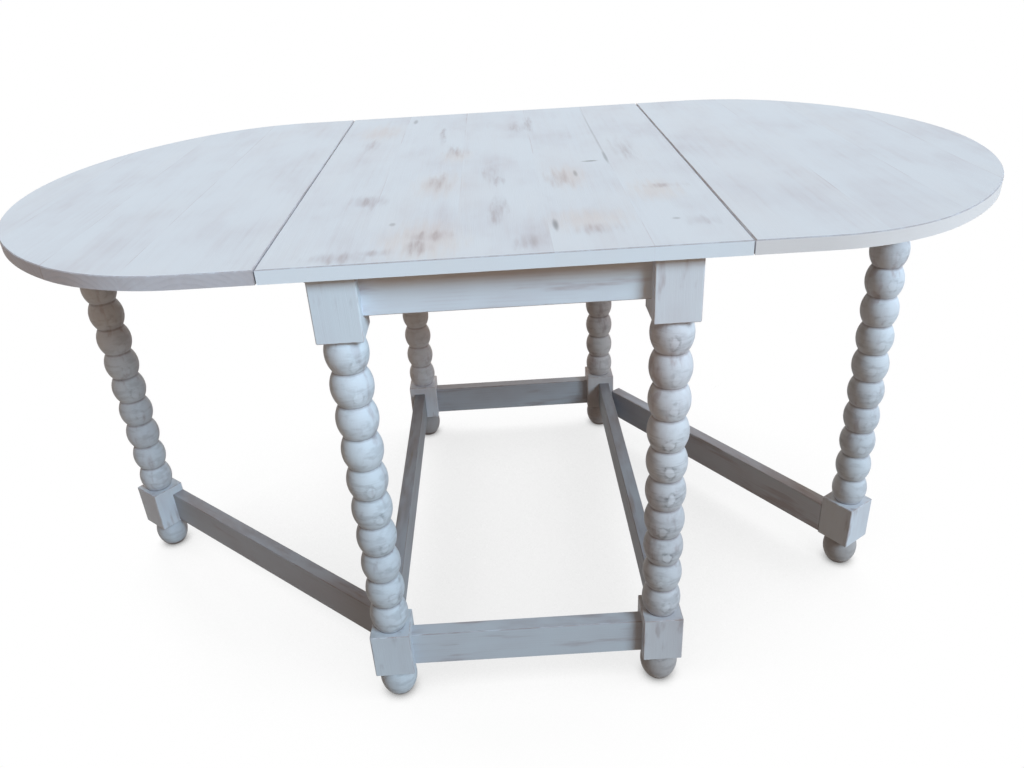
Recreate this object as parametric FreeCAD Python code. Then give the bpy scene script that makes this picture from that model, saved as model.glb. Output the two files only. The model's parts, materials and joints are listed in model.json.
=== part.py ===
import FreeCAD, Part
import math
import os

os.makedirs("parts", exist_ok=True)

Vector = FreeCAD.Vector
UP = Vector(0, 0, 1)
ALONG_X = Vector(1, 0, 0)
ALONG_Y = Vector(0, 1, 0)

# Table as a whole, in millimetres
table_height = 760.0
top_length = 900.0
top_width = 600.0
top_thickness = 19.0
top_arris = 1.2
centre_board_count = 5

# Drop leaves
leaf_reach = 475.0
leaf_straight = 95.0
leaf_shoulder_radius = 310.0
leaf_gap = 2.0
leaf_board_shares = (0.35, 0.25, 0.24, 0.16)

# Turned legs
leg_size = 62.0
foot_height = 58.0
foot_tread_radius = 18.0
lower_block_height = 83.0
top_block_height = 91.0
bead_radius = 30.0
groove_radius = 22.0
bead_count = 10
block_arris_radius = 2.0
block_end_chamfer = 1.2
end_overhang = 13.5

# Rails, with their tenons and mortises
rail_thickness = 24.0
side_rail_inset = 11.0
apron_height = 63.0
stretcher_height = 63.0
stretcher_floor_gap = 61.0
rail_arris = 1.2
tenon_length = 30.0
tenon_thickness = 10.0
tenon_shoulder = 8.0
glue_gap = 0.1
mortise_relief = 1.0

# Gates
gate_extra_length = 170.0
gate_gap = 1.4
gate_leaf_clearance = 1.6
gate_pivot_inset = 40.0
gate_rail_height = 36.0
gate_rail_drop = 8.0
gate_top_clearance = 0.4
gate_floor_clearance = 0.5
left_gate_tip_inset = 1.0
right_gate_tip_inset = 124.0

# Hinges
flap_thickness = 2.0
knuckle_radius = 4.0
pin_radius = 2.0
pin_running_gap = 0.05
knuckle_end_gap = 0.3
housing_gap = 0.4
flap_fit = 0.2
leaf_hinge_length = 60.0
leaf_flap_width = 34.0
leaf_hinge_end_inset = 65.0
gate_hinge_length = 30.0
gate_fixed_flap_width = 30.0
gate_moving_flap_width = 21.0

# Blocks that hold the top to the rails
screw_block_length = 40.0
screw_block_size = 24.0
apron_block_spacing = 190.0
side_block_spacing = 300.0

# One overrun for every cut
overrun = 5.0

# Places worked out from the sizes
half_top_length = top_length / 2
half_top_width = top_width / 2
half_leg = leg_size / 2
frame_height = table_height - top_thickness
frame_side = half_top_width - leg_size - gate_gap - gate_leaf_clearance
leg_x = frame_side + side_rail_inset - half_leg
leg_y = half_top_length - end_overhang - half_leg
side_rail_x = frame_side - rail_thickness / 2
leaf_axis_x = half_top_width + leaf_gap / 2
leaf_tip_x = half_top_width + leaf_gap + leaf_reach
gate_length = leaf_reach + gate_extra_length
gate_axis_x = frame_side + gate_gap / 2
gate_axis_y = leg_y - half_leg - gate_pivot_inset
apron_bottom = frame_height - apron_height
gate_rail_bottom = frame_height - gate_rail_drop - gate_rail_height
upper_hinge_z = gate_rail_bottom + gate_rail_height / 2
lower_hinge_z = stretcher_floor_gap + stretcher_height / 2


def box(low, high):
    size = high - low
    return Part.makeBox(size.x, size.y, size.z, low)


def moved(shape, offset):
    copy = shape.copy()
    copy.translate(offset)
    return copy


def turned_about(shape, centre, axis, degrees):
    copy = shape.copy()
    copy.rotate(centre, axis, degrees)
    return copy


def opposite(shape):
    # The same piece at the diagonally opposite corner
    return turned_about(shape, Vector(), UP, 180)


def mirrored_x(shape):
    return shape.mirror(Vector(), ALONG_X)


def save(name, pieces):
    shape = pieces[0] if len(pieces) == 1 else Part.makeCompound(pieces)
    shape.exportStep("parts/" + name + ".step")


def arc(start, middle, end):
    return Part.Arc(start, middle, end).toShape()


# Turned leg: a square billet with ten beads and a bun foot between plain blocks
def leg_profile(bottom, top):
    def point(radius, height):
        return Vector(radius, 0, height)

    beads_bottom = foot_height + lower_block_height
    beads_top = frame_height - top_block_height
    pitch = (beads_top - beads_bottom) / bead_count
    edges = [
        Part.makeLine(point(0, bottom), point(foot_tread_radius, bottom)),
        arc(
            point(foot_tread_radius, bottom),
            point(bead_radius, (bottom + foot_height) / 2),
            point(groove_radius, foot_height),
        ),
        Part.makeLine(point(groove_radius, foot_height), point(groove_radius, beads_bottom)),
    ]
    for index in range(bead_count):
        low = beads_bottom + index * pitch
        high = low + pitch
        belly = point(bead_radius, (low + high) / 2)
        edges.append(arc(point(groove_radius, low), belly, point(groove_radius, high)))
    edges.append(Part.makeLine(point(groove_radius, beads_top), point(groove_radius, top)))
    edges.append(Part.makeLine(point(groove_radius, top), point(0, top)))
    edges.append(Part.makeLine(point(0, top), point(0, bottom)))
    return Part.Face(Part.Wire(edges))


def leg_block(low, high, soft_heights):
    # A square block with rounded uprights and softened ends at the named heights
    block = box(Vector(-half_leg, -half_leg, low), Vector(half_leg, half_leg, high))
    uprights = []
    for edge in block.Edges:
        if abs(edge.Vertexes[0].Z - edge.Vertexes[1].Z) > leg_size / 2:
            uprights.append(edge)
    block = block.makeFillet(block_arris_radius, uprights)
    rims = []
    for edge in block.Edges:
        ends = [vertex.Z for vertex in edge.Vertexes]
        for height in soft_heights:
            if max(abs(end - height) for end in ends) < block_end_chamfer / 2:
                rims.append(edge)
    return block.makeChamfer(block_end_chamfer, rims)


def turned_leg(bottom, top):
    turning = leg_profile(bottom, top).revolve(Vector(), UP, 360)
    lower_top = foot_height + lower_block_height
    lower = leg_block(foot_height, lower_top, [foot_height, lower_top])
    upper = leg_block(frame_height - top_block_height, top, [frame_height - top_block_height])
    return turning.fuse([lower, upper]).removeSplitter()


# Rails run along local X from zero, centred on their thickness, with tenons where they meet a leg
def tenon(start, direction, height, extra_length, extra_side):
    half = tenon_thickness / 2 + extra_side
    reach = direction * (tenon_length + extra_length)
    low = Vector(min(start, start + reach), -half, tenon_shoulder - extra_side)
    high = Vector(max(start, start + reach), half, height - tenon_shoulder + extra_side)
    return box(low, high)


def rail_ends(length, both):
    ends = [(length, 1)]
    if both:
        ends.append((0, -1))
    return ends


def rail(length, height, both=True):
    half = rail_thickness / 2
    body = box(Vector(0, -half, 0), Vector(length, half, height))
    long_edges = []
    for edge in body.Edges:
        if abs(edge.Vertexes[0].X - edge.Vertexes[1].X) > length / 2:
            long_edges.append(edge)
    body = body.makeChamfer(rail_arris, long_edges)
    tenons = [tenon(start, way, height, 0, 0) for start, way in rail_ends(length, both)]
    return body.fuse(tenons)


def mortises(length, height, both=True):
    return [
        tenon(start, way, height, mortise_relief, glue_gap)
        for start, way in rail_ends(length, both)
    ]


def placed(shape, start, degrees):
    return moved(turned_about(shape, Vector(), UP, degrees), start)


def rail_pair(length, height, start, degrees):
    # One rail and its mortise cutters, each followed by its diagonal twin
    first = placed(rail(length, height), start, degrees)
    cutters = [placed(cutter, start, degrees) for cutter in mortises(length, height)]
    return [first, opposite(first)], cutters + [opposite(cutter) for cutter in cutters]


# A hinge flap lies along local +X from a pin on local Z, set off from the pin's plane along +Y
def knuckle_spans(length):
    third = length / 3
    half = length / 2
    outer = [(-half, third), (half - third, third)]
    middle = [(-half + third, third)]
    return outer, middle


def knuckles(spans, radius, end_change):
    solids = []
    for start, span in spans:
        foot = Vector(0, 0, start - end_change)
        solids.append(Part.makeCylinder(radius, span + 2 * end_change, foot))
    return solids


def flap(length, width, offset, is_fixed):
    outer, middle = knuckle_spans(length)
    own, other = (outer, middle) if is_fixed else (middle, outer)
    bore_radius = pin_radius if is_fixed else pin_radius + pin_running_gap
    plate = box(
        Vector(0, offset, -length / 2),
        Vector(width, offset + flap_thickness, length / 2),
    )
    end_change = 0 if is_fixed else -knuckle_end_gap
    shape = plate.cut(knuckles(other, knuckle_radius + housing_gap, knuckle_end_gap))
    shape = shape.fuse(knuckles(own, knuckle_radius, end_change))
    bore = Part.makeCylinder(bore_radius, length + 2 * overrun, Vector(0, 0, -length / 2 - overrun))
    return shape.cut(bore).removeSplitter()


def flap_recess(length, width, offset):
    return box(
        Vector(0, offset - overrun, -length / 2 - flap_fit),
        Vector(width + flap_fit, offset + flap_thickness, length / 2 + flap_fit),
    )


def knuckle_housing(length):
    start = Vector(0, 0, -length / 2 - housing_gap)
    return Part.makeCylinder(knuckle_radius + housing_gap, length + 2 * housing_gap, start)


def hinge_pin(length):
    return Part.makeCylinder(pin_radius, length, Vector(0, 0, -length / 2))


def seated(shape, centre, outward, inward):
    # Local X runs outward along the plate and local Y goes inward into the wood
    rotation = FreeCAD.Rotation(outward, inward, outward.cross(inward), "XYZ")
    copy = shape.copy()
    copy.Placement = FreeCAD.Placement(centre, rotation)
    return copy


def hinge_set(centres, length, fixed_side, moving_side, offset):
    # Each side is its flap width, the way the flap runs and the way into its wood
    fixed_width, fixed_out, fixed_in = fixed_side
    moving_width, moving_out, moving_in = moving_side
    pieces = {"fixed": [], "moving": [], "pins": [], "fixed_cuts": [], "moving_cuts": []}
    for centre in centres:
        def fixed(shape):
            return seated(shape, centre, fixed_out, fixed_in)

        def moving(shape):
            return seated(shape, centre, moving_out, moving_in)

        pieces["fixed"].append(fixed(flap(length, fixed_width, offset, True)))
        pieces["moving"].append(moving(flap(length, moving_width, offset, False)))
        pieces["pins"].append(fixed(hinge_pin(length)))
        pieces["fixed_cuts"].append(fixed(flap_recess(length, fixed_width, offset)))
        pieces["fixed_cuts"].append(fixed(knuckle_housing(length)))
        pieces["moving_cuts"].append(moving(flap_recess(length, moving_width, offset)))
        pieces["moving_cuts"].append(moving(knuckle_housing(length)))
    return pieces


# Leaf hinges lie flush under the joint between the top and a leaf, here on the right side
leaf_hinge_y = half_top_length - leaf_hinge_end_inset
leaf_hinges = hinge_set(
    [Vector(leaf_axis_x, y, frame_height) for y in (-leaf_hinge_y, 0, leaf_hinge_y)],
    leaf_hinge_length,
    (leaf_flap_width, -ALONG_X, UP),
    (leaf_flap_width, ALONG_X, UP),
    0,
)

# Gate hinges, here on the left side with the gate folded against the frame
gate_pivot = Vector(-gate_axis_x, -gate_axis_y, 0)
gate_hinges = hinge_set(
    [gate_pivot + UP * height for height in (lower_hinge_z, upper_hinge_z)],
    gate_hinge_length,
    (gate_fixed_flap_width, -ALONG_Y, ALONG_X),
    (gate_moving_flap_width, -ALONG_X, ALONG_Y),
    gate_gap / 2,
)

# Fixed frame: rails on each side with their mortises in the four legs
end_span = 2 * (leg_x - half_leg)
side_span = 2 * (leg_y - half_leg)
end_start = Vector(-end_span / 2, -leg_y, 0)
side_start = Vector(-side_rail_x, -side_span / 2, 0)
aprons, apron_cuts = rail_pair(end_span, apron_height, end_start + UP * apron_bottom, 0)
stretchers, stretcher_cuts = rail_pair(
    end_span, stretcher_height, end_start + UP * stretcher_floor_gap, 0
)
side_rails, side_rail_cuts = rail_pair(
    side_span, apron_height, side_start + UP * apron_bottom, 90
)
side_stretchers, side_stretcher_cuts = rail_pair(
    side_span, stretcher_height, side_start + UP * stretcher_floor_gap, 90
)
leg_cuts = apron_cuts + stretcher_cuts + side_rail_cuts + side_stretcher_cuts

fixed_leg = turned_leg(0, frame_height)
for depth_name, depth_side in (("front", -1), ("back", 1)):
    for side_name, side in (("left", -1), ("right", 1)):
        leg = moved(fixed_leg, Vector(side * leg_x, depth_side * leg_y, 0))
        save("leg_" + depth_name + "_" + side_name, [leg.cut(leg_cuts)])

for name, pair in (("apron", aprons), ("stretcher", stretchers)):
    save(name + "_front", [pair[0]])
    save(name + "_back", [pair[1]])
for name, pair in (("side_rail", side_rails), ("side_stretcher", side_stretchers)):
    left = pair[0].cut(gate_hinges["fixed_cuts"])
    save(name + "_left", [left])
    save(name + "_right", [opposite(left)])

# Blocks glued in the corner of rail and top, to take the screws that hold the top
apron_block = box(
    Vector(-screw_block_length / 2, 0, -screw_block_size),
    Vector(screw_block_length / 2, screw_block_size, 0),
)
screw_blocks = []
for spread in (-1, 1):
    front_place = Vector(spread * apron_block_spacing / 2, -leg_y + rail_thickness / 2, frame_height)
    front = moved(apron_block, front_place)
    rail_face = frame_side - rail_thickness
    side_place = Vector(rail_face, spread * side_block_spacing / 2, frame_height)
    right = placed(apron_block, side_place, 90)
    screw_blocks += [front, opposite(front), right, opposite(right)]
save("screw_blocks", screw_blocks)


# Tops: a softened slab split into its edge-glued boards, then recessed for the hinges
def softened(slab):
    rims = []
    for edge in slab.Edges:
        if min(vertex.Z for vertex in edge.Vertexes) > table_height - top_thickness / 2:
            rims.append(edge)
    return slab.makeChamfer(top_arris, rims)


def boards(slab, first_x, widths, cutters):
    strips = []
    low_x = first_x
    for width in widths:
        strip = box(
            Vector(low_x, -half_top_length - overrun, frame_height - overrun),
            Vector(low_x + width, half_top_length + overrun, table_height + overrun),
        )
        strips.append(slab.common(strip).cut(cutters))
        low_x += width
    return strips


def leaf_slab():
    # A straight stretch, a shoulder arc and an end arc that runs tangent into it
    inner_x = half_top_width + leaf_gap
    shoulder_y = half_top_length - leaf_shoulder_radius
    run = leaf_reach - leaf_straight
    end_radius = (run ** 2 + shoulder_y ** 2 - leaf_shoulder_radius ** 2) / (
        2 * (run - leaf_shoulder_radius)
    )
    end_centre = Vector(inner_x + leaf_reach - end_radius, 0, frame_height)

    def side(way):
        centre = Vector(inner_x + leaf_straight, way * shoulder_y, frame_height)
        outward = (centre - end_centre).normalize()
        halfway = (outward + Vector(0, way, 0)).normalize()
        return {
            "corner": Vector(inner_x, way * half_top_length, frame_height),
            "start": centre + Vector(0, way * leaf_shoulder_radius, 0),
            "middle": centre + halfway * leaf_shoulder_radius,
            "tangent": centre + outward * leaf_shoulder_radius,
        }

    front = side(-1)
    back = side(1)
    tip = end_centre + Vector(end_radius, 0, 0)
    outline = Part.Wire([
        Part.makeLine(front["corner"], front["start"]),
        arc(front["start"], front["middle"], front["tangent"]),
        arc(front["tangent"], tip, back["tangent"]),
        arc(back["tangent"], back["middle"], back["start"]),
        Part.makeLine(back["start"], back["corner"]),
        Part.makeLine(back["corner"], front["corner"]),
    ])
    return softened(Part.Face(outline).extrude(UP * top_thickness))


centre_slab = softened(box(
    Vector(-half_top_width, -half_top_length, frame_height),
    Vector(half_top_width, half_top_length, table_height),
))
left_cuts = [opposite(cutter) for cutter in leaf_hinges["fixed_cuts"]]
centre_cuts = leaf_hinges["fixed_cuts"] + left_cuts
centre_widths = [top_width / centre_board_count] * centre_board_count
centre_boards = boards(centre_slab, -half_top_width, centre_widths, centre_cuts)
for index, board in enumerate(centre_boards):
    save("top_board_" + str(index + 1), [board])

leaf_widths = [leaf_reach * share for share in leaf_board_shares]
leaf_boards = boards(
    leaf_slab(), half_top_width + leaf_gap, leaf_widths, leaf_hinges["moving_cuts"]
)
for index, board in enumerate(leaf_boards):
    save("right_leaf_board_" + str(index + 1), [board])
    save("left_leaf_board_" + str(index + 1), [mirrored_x(board)])

for piece, name in (("fixed", "top_flaps"), ("moving", "leaf_flaps"), ("pins", "hinge_pins")):
    save("right_leaf_" + name, leaf_hinges[piece])
    save("left_leaf_" + name, [opposite(solid) for solid in leaf_hinges[piece]])

for piece, name in (("fixed", "frame_flaps"), ("pins", "hinge_pins")):
    save("left_gate_" + name, gate_hinges[piece])
    save("right_gate_" + name, [opposite(solid) for solid in gate_hinges[piece]])


# Gates: a sixth turned leg and two rails, flush on the face that folds against the frame
def folded_gate():
    gate_rail_x = -frame_side - gate_gap - rail_thickness / 2
    start = Vector(gate_rail_x, -gate_axis_y + gate_gap / 2, 0)
    length = gate_length - leg_size - gate_gap / 2
    rails = {}
    cutters = []
    for name, bottom, height in (
        ("rail", gate_rail_bottom, gate_rail_height),
        ("stretcher", stretcher_floor_gap, stretcher_height),
    ):
        place = start + UP * bottom
        body = placed(rail(length, height, False), place, 90)
        rails[name] = [body.cut(gate_hinges["moving_cuts"])]
        cutters += [placed(cutter, place, 90) for cutter in mortises(length, height, False)]
    leg_place = Vector(
        -frame_side - gate_gap - half_leg,
        -gate_axis_y + gate_length - half_leg,
        0,
    )
    leg = turned_leg(gate_floor_clearance, frame_height - gate_top_clearance)
    rails["leg"] = [moved(leg, leg_place).cut(cutters)]
    rails["flaps"] = gate_hinges["moving"]
    return rails


def gate_opening(tip_inset):
    # The turn that brings the gate leg's far corner this far inside the leaf's tip
    reach = leaf_tip_x - tip_inset - gate_axis_x
    corner = leg_size + gate_gap / 2
    diagonal = math.hypot(gate_length, corner)
    return math.degrees(math.asin(reach / diagonal) - math.atan2(corner, gate_length))


def opened(shape, degrees):
    return turned_about(shape, gate_pivot, UP, degrees)


left_opening = gate_opening(left_gate_tip_inset)
right_opening = gate_opening(right_gate_tip_inset)
for name, pieces in folded_gate().items():
    left = [opened(piece, left_opening) for piece in pieces]
    right = [opposite(opened(piece, right_opening)) for piece in pieces]
    save("left_gate_" + name, left)
    save("right_gate_" + name, right)

print("open length", 2 * leaf_tip_x, "mm")
print("leg at", leg_x, leg_y, "gate axis at", gate_axis_x, gate_axis_y, "mm")
print("gates open by", round(left_opening, 3), "and", round(right_opening, 3), "degrees")
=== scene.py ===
# %% [markdown]
# # A gateleg table with bobbin legs
# This lesson dresses a finished model of a folding table. The model already has every board, leg,
# rail and hinge in its place, so the work here is finish: pine under a thin white wash, worn steel,
# and the small screws that a model of the main pieces leaves out.

# %% Load the model
import json
import math
import random

import bpy
from mathutils import Euler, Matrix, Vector


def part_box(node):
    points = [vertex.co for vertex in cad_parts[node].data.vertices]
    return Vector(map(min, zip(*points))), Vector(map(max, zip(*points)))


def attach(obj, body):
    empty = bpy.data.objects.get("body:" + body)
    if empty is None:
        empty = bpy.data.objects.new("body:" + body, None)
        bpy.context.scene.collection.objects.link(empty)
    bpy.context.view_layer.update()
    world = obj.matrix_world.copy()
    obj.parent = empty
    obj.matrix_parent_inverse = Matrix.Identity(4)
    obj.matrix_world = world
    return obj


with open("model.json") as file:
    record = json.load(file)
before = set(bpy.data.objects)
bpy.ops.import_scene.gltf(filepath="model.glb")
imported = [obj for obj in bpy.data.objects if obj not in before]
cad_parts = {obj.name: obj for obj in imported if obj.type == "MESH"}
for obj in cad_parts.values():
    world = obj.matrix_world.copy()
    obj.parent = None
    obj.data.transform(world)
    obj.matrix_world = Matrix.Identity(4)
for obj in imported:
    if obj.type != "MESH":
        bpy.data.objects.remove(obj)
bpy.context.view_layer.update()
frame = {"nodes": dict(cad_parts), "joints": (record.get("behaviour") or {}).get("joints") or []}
nodes = frame["nodes"]
scene = bpy.context.scene
scene.view_settings.view_transform = "Standard"
print("pieces in the model:", len(nodes))

# %% [markdown]
# ## Camera
# The table is seen from a standing person's height, a little to the left of its middle and tilted
# down. The lens is a wide one, close to what a phone has, which is why the near legs lean outwards.
# Place, turn and lens are worked out from where the corners of the table fall in the picture.

# %% Camera
camera_place = Vector((-0.0013, -1.4028, 1.1018))
camera_turn = (61.47, 3.01, -1.71)
camera_lens = 29.455

camera_data = bpy.data.cameras.new("standing_view")
camera_data.sensor_width = 36.0
camera_data.lens = camera_lens
camera = bpy.data.objects.new("standing_view", camera_data)
camera.location = camera_place
camera.rotation_euler = Euler([math.radians(angle) for angle in camera_turn])
scene.collection.objects.link(camera)
scene.camera = camera
print("camera lens", camera_lens, "mm")

# %% [markdown]
# ## Helpers for materials
# A material is a small network of nodes. These few helpers add a node, set its sockets and link it in
# one line each, so that the recipes below read from top to bottom like a list of steps. A socket is
# given either a plain value or the output of an earlier node.


# %% Helpers for materials
def linear(red, green, blue):
    # Shaders count light, so a colour read from a chart is taken out of its display curve first
    shares = [value / 255 for value in (red, green, blue)]
    return (*[((share + 0.055) / 1.055) ** 2.4 for share in shares], 1.0)


def fill(tree, node, sockets):
    for key, value in sockets.items():
        if isinstance(value, bpy.types.NodeSocket):
            tree.links.new(value, node.inputs[key])
        else:
            node.inputs[key].default_value = value
    return node


def add(tree, kind, sockets=None, family="ShaderNode", **settings):
    node = tree.nodes.new(family + kind)
    for name, value in settings.items():
        setattr(node, name, value)
    return fill(tree, node, sockets or {})


def calc(tree, operation, *values):
    return add(tree, "Math", dict(enumerate(values)), operation=operation).outputs[0]


def vector(tree, operation, first, second):
    return add(tree, "VectorMath", {0: first, 1: second}, operation=operation).outputs["Vector"]


def scaled(tree, socket, factor):
    return add(tree, "VectorMath", {0: socket, 3: factor}, operation="SCALE").outputs["Vector"]


def rise(tree, value, low, high):
    # A soft step from 0 at low to 1 at high, and downwards where low is the larger
    sockets = {"Value": value, "From Min": low, "From Max": high}
    return add(tree, "MapRange", sockets, interpolation_type="SMOOTHSTEP").outputs["Result"]


def band(tree, value, start, full, fade, end):
    # 1 between full and fade, and 0 below start and above end
    return calc(tree, "MULTIPLY", rise(tree, value, start, full), rise(tree, value, end, fade))


def laid_over(tree, start, *layers):
    # A starting amount, and on top of it each mask times its depth
    for mask, depth in layers:
        start = calc(tree, "MULTIPLY_ADD", mask, depth, start)
    return start


def mixed(tree, share, first, second):
    return add(tree, "Mix", {0: share, 6: first, 7: second}, data_type="RGBA").outputs[2]


def noise(tree, point, scales, detail=2.0):
    # The three scales stretch the noise along the piece's own axes
    stretched = vector(tree, "MULTIPLY", point, scales)
    return add(tree, "TexNoise", {"Vector": stretched, "Scale": 1.0, "Detail": detail}).outputs["Fac"]


def new_group(name, inputs, outputs):
    tree = bpy.data.node_groups.new(name, "ShaderNodeTree")
    for label, kind in inputs:
        tree.interface.new_socket(label, in_out="INPUT", socket_type="NodeSocket" + kind)
    for label, kind in outputs:
        tree.interface.new_socket(label, in_out="OUTPUT", socket_type="NodeSocket" + kind)
    return tree, tree.nodes.new("NodeGroupInput").outputs, tree.nodes.new("NodeGroupOutput")


def put_out(tree, outlet, **values):
    for label, socket in values.items():
        tree.links.new(socket, outlet.inputs[label.replace("_", " ")])


def fill_group(tree, group, sockets):
    node = tree.nodes.new("ShaderNodeGroup")
    node.node_tree = group
    return fill(tree, node, sockets).outputs


def parts_of(tree, socket):
    return add(tree, "SeparateXYZ", {0: socket}).outputs


def length(tree, socket):
    return add(tree, "VectorMath", {0: socket}, operation="LENGTH").outputs["Value"]


def along(tree, socket, direction):
    return add(tree, "VectorMath", {0: socket, 1: direction}, operation="DOT_PRODUCT").outputs["Value"]


print("helpers are ready, and middle grey is", [round(share, 3) for share in linear(128, 128, 128)])

# %% [markdown]
# ## Pine figure
# Pine shows its yearly rings as pale wide bands that end in a thin dark line. A tree trunk is a bundle
# of cylinders, so the figure is made as a solid: the distance from the heart of the log, divided by the
# ring width. Wherever the saw or the lathe cuts this solid, the right figure comes out by itself, with
# long flames on a board and bull's-eyes on a turned bead. A flat picture could not follow both.

# %% Pine figure
# Noise is scaled along the grain first and then across it, in waves to the metre
wander_scales = (1.6, 8.0, 8.0)
wander_reach = (0.0, 0.016, 0.016)
ripple_scales = (5.0, 70.0, 70.0)
ripple_depth = 0.5
fibre_scales = (22.0, 1100.0, 1100.0)


def make_pine_figure():
    inputs = [("Point", "Vector"), ("Ring Width", "Float")]
    outputs = [("Latewood", "Float"), ("Fibre", "Float")]
    tree, given, outlet = new_group("pine_figure", inputs, outputs)
    slow = vector(tree, "MULTIPLY", given["Point"], wander_scales)
    wander = add(tree, "TexNoise", {"Vector": slow, "Scale": 1.0, "Detail": 1.0}).outputs["Color"]
    centred = vector(tree, "SUBTRACT", wander, (0.5, 0.5, 0.5))
    strayed = vector(tree, "ADD", given["Point"], vector(tree, "MULTIPLY", centred, wander_reach))
    radius = length(tree, vector(tree, "MULTIPLY", strayed, (0.0, 1.0, 1.0)))
    years = calc(tree, "DIVIDE", radius, given["Ring Width"])
    ripple = calc(tree, "MULTIPLY", noise(tree, given["Point"], ripple_scales), ripple_depth)
    year = calc(tree, "FRACT", calc(tree, "ADD", years, ripple))
    # Within a year the wood darkens slowly and goes pale at once
    dense = calc(tree, "SUBTRACT", rise(tree, year, 0.35, 0.88), rise(tree, year, 0.92, 1.0))
    fibre = noise(tree, given["Point"], fibre_scales, 3.0)
    put_out(tree, outlet, Latewood=dense, Fibre=fibre)
    return tree


pine_figure = make_pine_figure()
print("group", pine_figure.name, "with", len(pine_figure.nodes), "nodes")

# %% [markdown]
# ## White wash
# The wash is thinned white paint, brushed on along the grain and partly wiped off. It lies thicker in
# some strokes than in others, the hard rings take less of it, and hands and cloths have rubbed it
# through. All of that is one number, the film: coverage plus brush strokes, less rings and wear. The
# film then mixes wood into paint, and the same number sets gloss and relief, so they always agree.
# Two tints lie over it: a yellowing, partly resin that bleeds through and partly painted warm shade, and
# a darkening, partly grime from the floor and partly painted shade, which is painted light below zero.

# %% White wash
stroke_scales = (5.0, 120.0, 120.0)
stroke_depth = 0.14
cloud_scales = (6.0, 11.0, 11.0)
cloud_depth = 0.55
speck_scales = (60.0, 260.0, 260.0)
wiped_scales = (18.0, 40.0, 40.0)
clean_wood = 1.08
latewood_shade = -0.35
fibre_shade = -0.2
grime_shade = -0.5
# A warm tint, for resin that has bled through and for painted warm shade
warm_tint = (1.0, 0.885, 0.815)
wood_roughness = 0.52
wash_roughness = 0.12


def make_white_wash():
    inputs = [("Point", "Vector"), ("Latewood", "Float"), ("Fibre", "Float"), ("Wear", "Float")]
    inputs += [("Coverage", "Float"), ("Figure", "Float"), ("Grime And Shading", "Float"), ("Bleed And Warm Shade", "Float")]
    inputs += [("Wood", "Color"), ("Wash", "Color"), ("Thin Wash", "Color")]
    outputs = [("Colour", "Color"), ("Roughness", "Float"), ("Height", "Float")]
    tree, given, outlet = new_group("white_wash", inputs, outputs)
    point = given["Point"]
    stroke = calc(tree, "SUBTRACT", noise(tree, point, stroke_scales, 4.0), 0.5)
    cloud = calc(tree, "SUBTRACT", noise(tree, point, cloud_scales, 3.0), 0.5)
    wiped = rise(tree, noise(tree, point, wiped_scales), 0.35, 0.65)
    figure = calc(tree, "MULTIPLY", given["Latewood"], given["Figure"])
    rings = calc(tree, "MULTIPLY", figure, wiped)
    speckled = calc(tree, "ADD", noise(tree, point, speck_scales, 3.0), 0.5)
    rub = calc(tree, "MULTIPLY", given["Wear"], speckled)
    film = laid_over(tree, given["Coverage"], (stroke, stroke_depth), (cloud, cloud_depth))
    film = calc(tree, "SUBTRACT", film, calc(tree, "ADD", rings, rub))
    cover = rise(tree, film, 0.0, 1.0)
    latewood, fibre = given["Latewood"], given["Fibre"]
    grain = laid_over(tree, clean_wood, (latewood, latewood_shade), (fibre, fibre_shade))
    wood = scaled(tree, given["Wood"], grain)
    paint = mixed(tree, rise(tree, film, 0.7, 1.15), given["Thin Wash"], given["Wash"])
    colour = mixed(tree, cover, wood, paint)
    # Yellowing from bled resin, and in places painted warm shade
    warmed = vector(tree, "MULTIPLY", colour, warm_tint)
    colour = mixed(tree, given["Bleed And Warm Shade"], colour, warmed)
    put_out(
        tree,
        outlet,
        # Darkening from grime, and in places painted shade, which turns to painted light below zero
        Colour=scaled(tree, colour, laid_over(tree, 1.0, (given["Grime And Shading"], grime_shade))),
        Roughness=laid_over(tree, wood_roughness, (stroke, 0.2), (cover, wash_roughness)),
        Height=laid_over(tree, fibre, (stroke, 0.5), (cover, 0.35)),
    )
    return tree


white_wash = make_white_wash()
print("group", white_wash.name, "with", len(white_wash.nodes), "nodes")

# %% [markdown]
# ## Worn edges
# Paint goes first where a hand or a cloth catches it: along the softened edges. Every edge of this
# table has a small chamfer or rounding in the model, and there the surface looks neither along one
# axis of the piece nor along another. The middle one of the three parts of the normal is large only
# there, so it marks the edges on any squared piece without painting a mask by hand.


# %% Worn edges
def make_worn_edges():
    inputs = [("Facing", "Vector"), ("Point", "Vector")]
    tree, given, outlet = new_group("worn_edges", inputs, [("Wear", "Float")])
    ahead, side, up = [calc(tree, "ABSOLUTE", part) for part in parts_of(tree, given["Facing"])]
    low = calc(tree, "MINIMUM", side, up)
    high = calc(tree, "MAXIMUM", side, up)
    middle = calc(tree, "MAXIMUM", low, calc(tree, "MINIMUM", high, ahead))
    patchy = rise(tree, noise(tree, given["Point"], (30.0, 90.0, 90.0), 3.0), 0.3, 0.65)
    put_out(tree, outlet, Wear=calc(tree, "MULTIPLY", rise(tree, middle, 0.2, 0.6), patchy))
    return tree


worn_edges = make_worn_edges()
print("group", worn_edges.name, "with", len(worn_edges.nodes), "nodes")

# %% [markdown]
# ## Marks on the centre top
# The middle of the table has been used most, and it shows in three ways. Resin has bled through in wide
# warm halos, cloths have rubbed the wash thin in grey smudges that run with the grain, and a few fine
# cuts have filled with dirt. Each mark is a soft oval, listed by its middle, its half sizes in metres
# and its strength. One small group makes an oval with a ragged rim, and a second one collects a list.

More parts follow.
